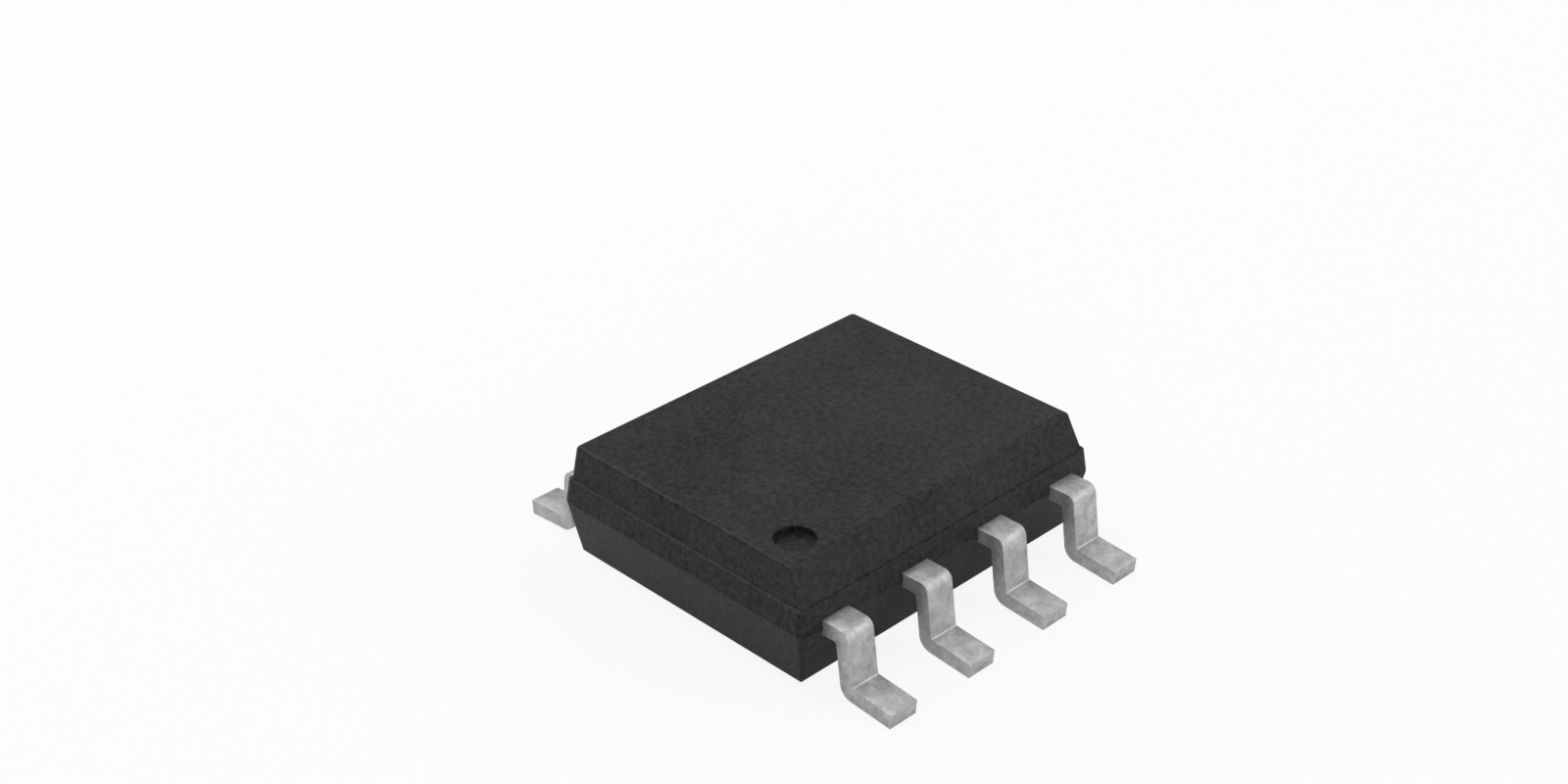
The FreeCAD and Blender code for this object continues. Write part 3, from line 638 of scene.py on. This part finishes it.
ball = pressed_blob(nodes, BALL_RADIUS, BALL_HEIGHT)
stitch = pressed_blob(nodes, STITCH_RADIUS, STITCH_HEIGHT)
stitch = moved(nodes, stitch, size.output("Reach"), 0, size.output("Landing"))
whole = nodes.add("GeometryNodeJoinGeometry", None, {"Geometry": [wire, ball, stitch]})
finish_form(nodes, whole, [size.output(f"Pad {axis}") * MM for axis in "XYZ"], size)

GOLD_CLOUD, DEEP_GOLD, PALE_GOLD = 9000, (0.80, 0.56, 0.20, 1), (0.92, 0.70, 0.32, 1)
gold_wire, nodes, shader, place = new_finish("gold_wire", Metallic=1.0)
cloud = nodes.noise(place, GOLD_CLOUD, detail=2)
nodes.give(shader.inputs["Base Color"], nodes.mix(cloud, DEEP_GOLD, PALE_GOLD))
roughened(nodes, shader, cloud, smoothest=0.18, spread=0.14)


def loop_path(reach, landing):
    """The wire's line as (along, up, bend radius): up from the ball, then down to the stitch."""
    low, high, end = BALL_HEIGHT / 2, BALL_HEIGHT / 2 + WIRE_RISE, landing + STITCH_HEIGHT / 2
    to_end = Vector((reach - LOOP_RADIUS, end - high))
    turn = math.atan2(to_end.y, to_end.x) + math.acos(LOOP_RADIUS / to_end.length)
    off_x, off_z = LOOP_RADIUS * (1 + math.cos(turn)), high + LOOP_RADIUS * math.sin(turn)
    slope = (end - off_z) / (reach - off_x)
    return [(0, low, 0), (0, off_z - slope * off_x, LOOP_RADIUS), (reach, end, 0)]


for number in range(1, 2 * LEADS_A_SIDE + 1):
    node = f"bond_wire_{number}"
    low, high = (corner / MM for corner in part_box(node))
    end_x = -1 if (low.x + high.x) < 0 else 1
    end_y = -1 if (low.y + high.y) < 0 else 1
    near_x, far_x = (high.x, low.x) if end_x < 0 else (low.x, high.x)
    near_y, far_y = (high.y, low.y) if end_y < 0 else (low.y, high.y)
    pad_x, stitch_x = near_x + end_x * BALL_RADIUS, far_x - end_x * STITCH_RADIUS
    pad_y, stitch_y = near_y + end_y * BALL_RADIUS, far_y - end_y * STITCH_RADIUS
    across, along = stitch_x - pad_x, stitch_y - pad_y
    span, landing = math.hypot(across, along), frame_top - die_top
    wire = add_piece(f"looped_{node}", path_mesh(node, loop_path(span, landing), closed=False))
    sizes = {
        "Reach": span, "Landing": landing, "Turn": math.atan2(along, across),
        "Pad X": pad_x, "Pad Y": pad_y, "Pad Z": die_top,
    }
    shaped_by(wire, wire_form, sizes, gold_wire)
    settle(wire)
    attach(wire, "root")
    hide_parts(node)

# The table, the lamps and the camera
# A white paper table in a white room, under nine large soft lamps that show a colour about as it is
# written. The camera looks down on the corner between the pin-1 side and the pin-1 end. It sees the
# paper and the room, and the metal mirrors them, brighter than they light the chip.
TABLE_HALF, PAPER_GREY, PAPER_SEEN, PAPER_MIRRORED = 150, 0.8, 0.9, 0.3
ROOM_LIGHT, ROOM_MIRRORED = 0.03, 0.15
LAMP_SIZE, LAMP_DISTANCE, LAMP_AIM_HEIGHT = 104, 160, 0.8
LOOK_AT, CAMERA_BACK = Vector((-0.016, 0.737, 1.779)), Vector((-0.60943, -0.61289, 0.50295))
CAMERA_DISTANCE, CAMERA_LENS, SENSOR_WIDTH = 27.695, 53.9, 36
NEAREST_SEEN, FARTHEST_SEEN = 1, 2000


def emptied(holder):
    """The nodes of a material or a world, with none in it yet."""
    holder.use_nodes = True
    holder.node_tree.nodes.clear()
    return Nodes(holder.node_tree)


def how_seen(nodes):
    """Whether the camera sees a place itself, and whether it sees it in metal or through glass."""
    path = nodes.add("ShaderNodeLightPath")
    mirrored = path.output("Is Glossy Ray") + path.output("Is Transmission Ray")
    return path.output("Is Camera Ray"), mirrored


table_mesh = bpy.data.meshes.new("table")
corner_ways = ((-1, -1), (1, -1), (1, 1), (-1, 1))
table_corners = [(x * TABLE_HALF * MM, y * TABLE_HALF * MM, 0) for x, y in corner_ways]
table_mesh.from_pydata(table_corners, [], [(0, 1, 2, 3)])
table = add_piece("table", table_mesh)
white_table = bpy.data.materials.new("white_table")
nodes = emptied(white_table)
paper = nodes.add("ShaderNodeBsdfDiffuse", None, {"Color": grey(PAPER_GREY)})
glow = nodes.add("ShaderNodeEmission", None, {"Color": grey(1.0), "Strength": 1.0})
straight, mirrored = how_seen(nodes)
glowing = PAPER_SEEN * straight + PAPER_MIRRORED * mirrored
surface = nodes.add("ShaderNodeMixShader", None, {0: glowing, 1: paper, 2: glow})
nodes.add("ShaderNodeOutputMaterial", None, {"Surface": surface})
table.data.materials.append(white_table)

studio = bpy.data.worlds.new("studio")
bpy.context.scene.world = studio
nodes = emptied(studio)
straight, mirrored = how_seen(nodes)
strength = ROOM_LIGHT + (1 - ROOM_LIGHT) * straight + ROOM_MIRRORED * mirrored
room = nodes.add("ShaderNodeBackground", None, {"Color": grey(1.0), "Strength": strength})
nodes.add("ShaderNodeOutputWorld", None, {"Surface": room})


def soft_lamp(name, azimuth, elevation, power):
    """A square lamp that faces the chip, with its power in watts; azimuth 90 is on the +Y side."""
    lamp = bpy.data.lights.new(name, "AREA")
    lamp.shape, lamp.size, lamp.energy = "SQUARE", LAMP_SIZE * MM, power
    turn, rise = math.radians(azimuth), math.radians(elevation)
    way = Vector((math.cos(turn) * math.cos(rise), math.sin(turn) * math.cos(rise), math.sin(rise)))
    holder = bpy.data.objects.new(name, lamp)
    holder.location = (Vector((0, 0, LAMP_AIM_HEIGHT)) + way * LAMP_DISTANCE) * MM
    holder.rotation_euler = way.to_track_quat("Z", "Y").to_euler()
    bpy.context.scene.collection.objects.link(holder)


soft_lamp("pin_1_end", azimuth=180, elevation=65, power=0.035)
soft_lamp("far_side_high", azimuth=90, elevation=65, power=0.094)
soft_lamp("far_side", azimuth=90, elevation=30, power=0.056)
soft_lamp("front", azimuth=225, elevation=10, power=0.098)
soft_lamp("near_side", azimuth=300, elevation=10, power=0.047)
soft_lamp("far_corner", azimuth=30, elevation=30, power=0.021)
soft_lamp("far_end", azimuth=0, elevation=50, power=0.019)
soft_lamp("right_of_view", azimuth=320, elevation=38, power=0.060)
soft_lamp("left_of_view", azimuth=130, elevation=38, power=0.037)

camera_data = bpy.data.cameras.new("camera")
camera_data.lens, camera_data.sensor_width = CAMERA_LENS, SENSOR_WIDTH
camera_data.clip_start, camera_data.clip_end = NEAREST_SEEN * MM, FARTHEST_SEEN * MM
camera = bpy.data.objects.new("camera", camera_data)
camera.location = (LOOK_AT + CAMERA_BACK.normalized() * CAMERA_DISTANCE) * MM
camera.rotation_euler = CAMERA_BACK.to_track_quat("Z", "Y").to_euler()
bpy.context.scene.collection.objects.link(camera)
bpy.context.scene.camera = camera
bpy.context.scene.view_settings.view_transform = "Standard"
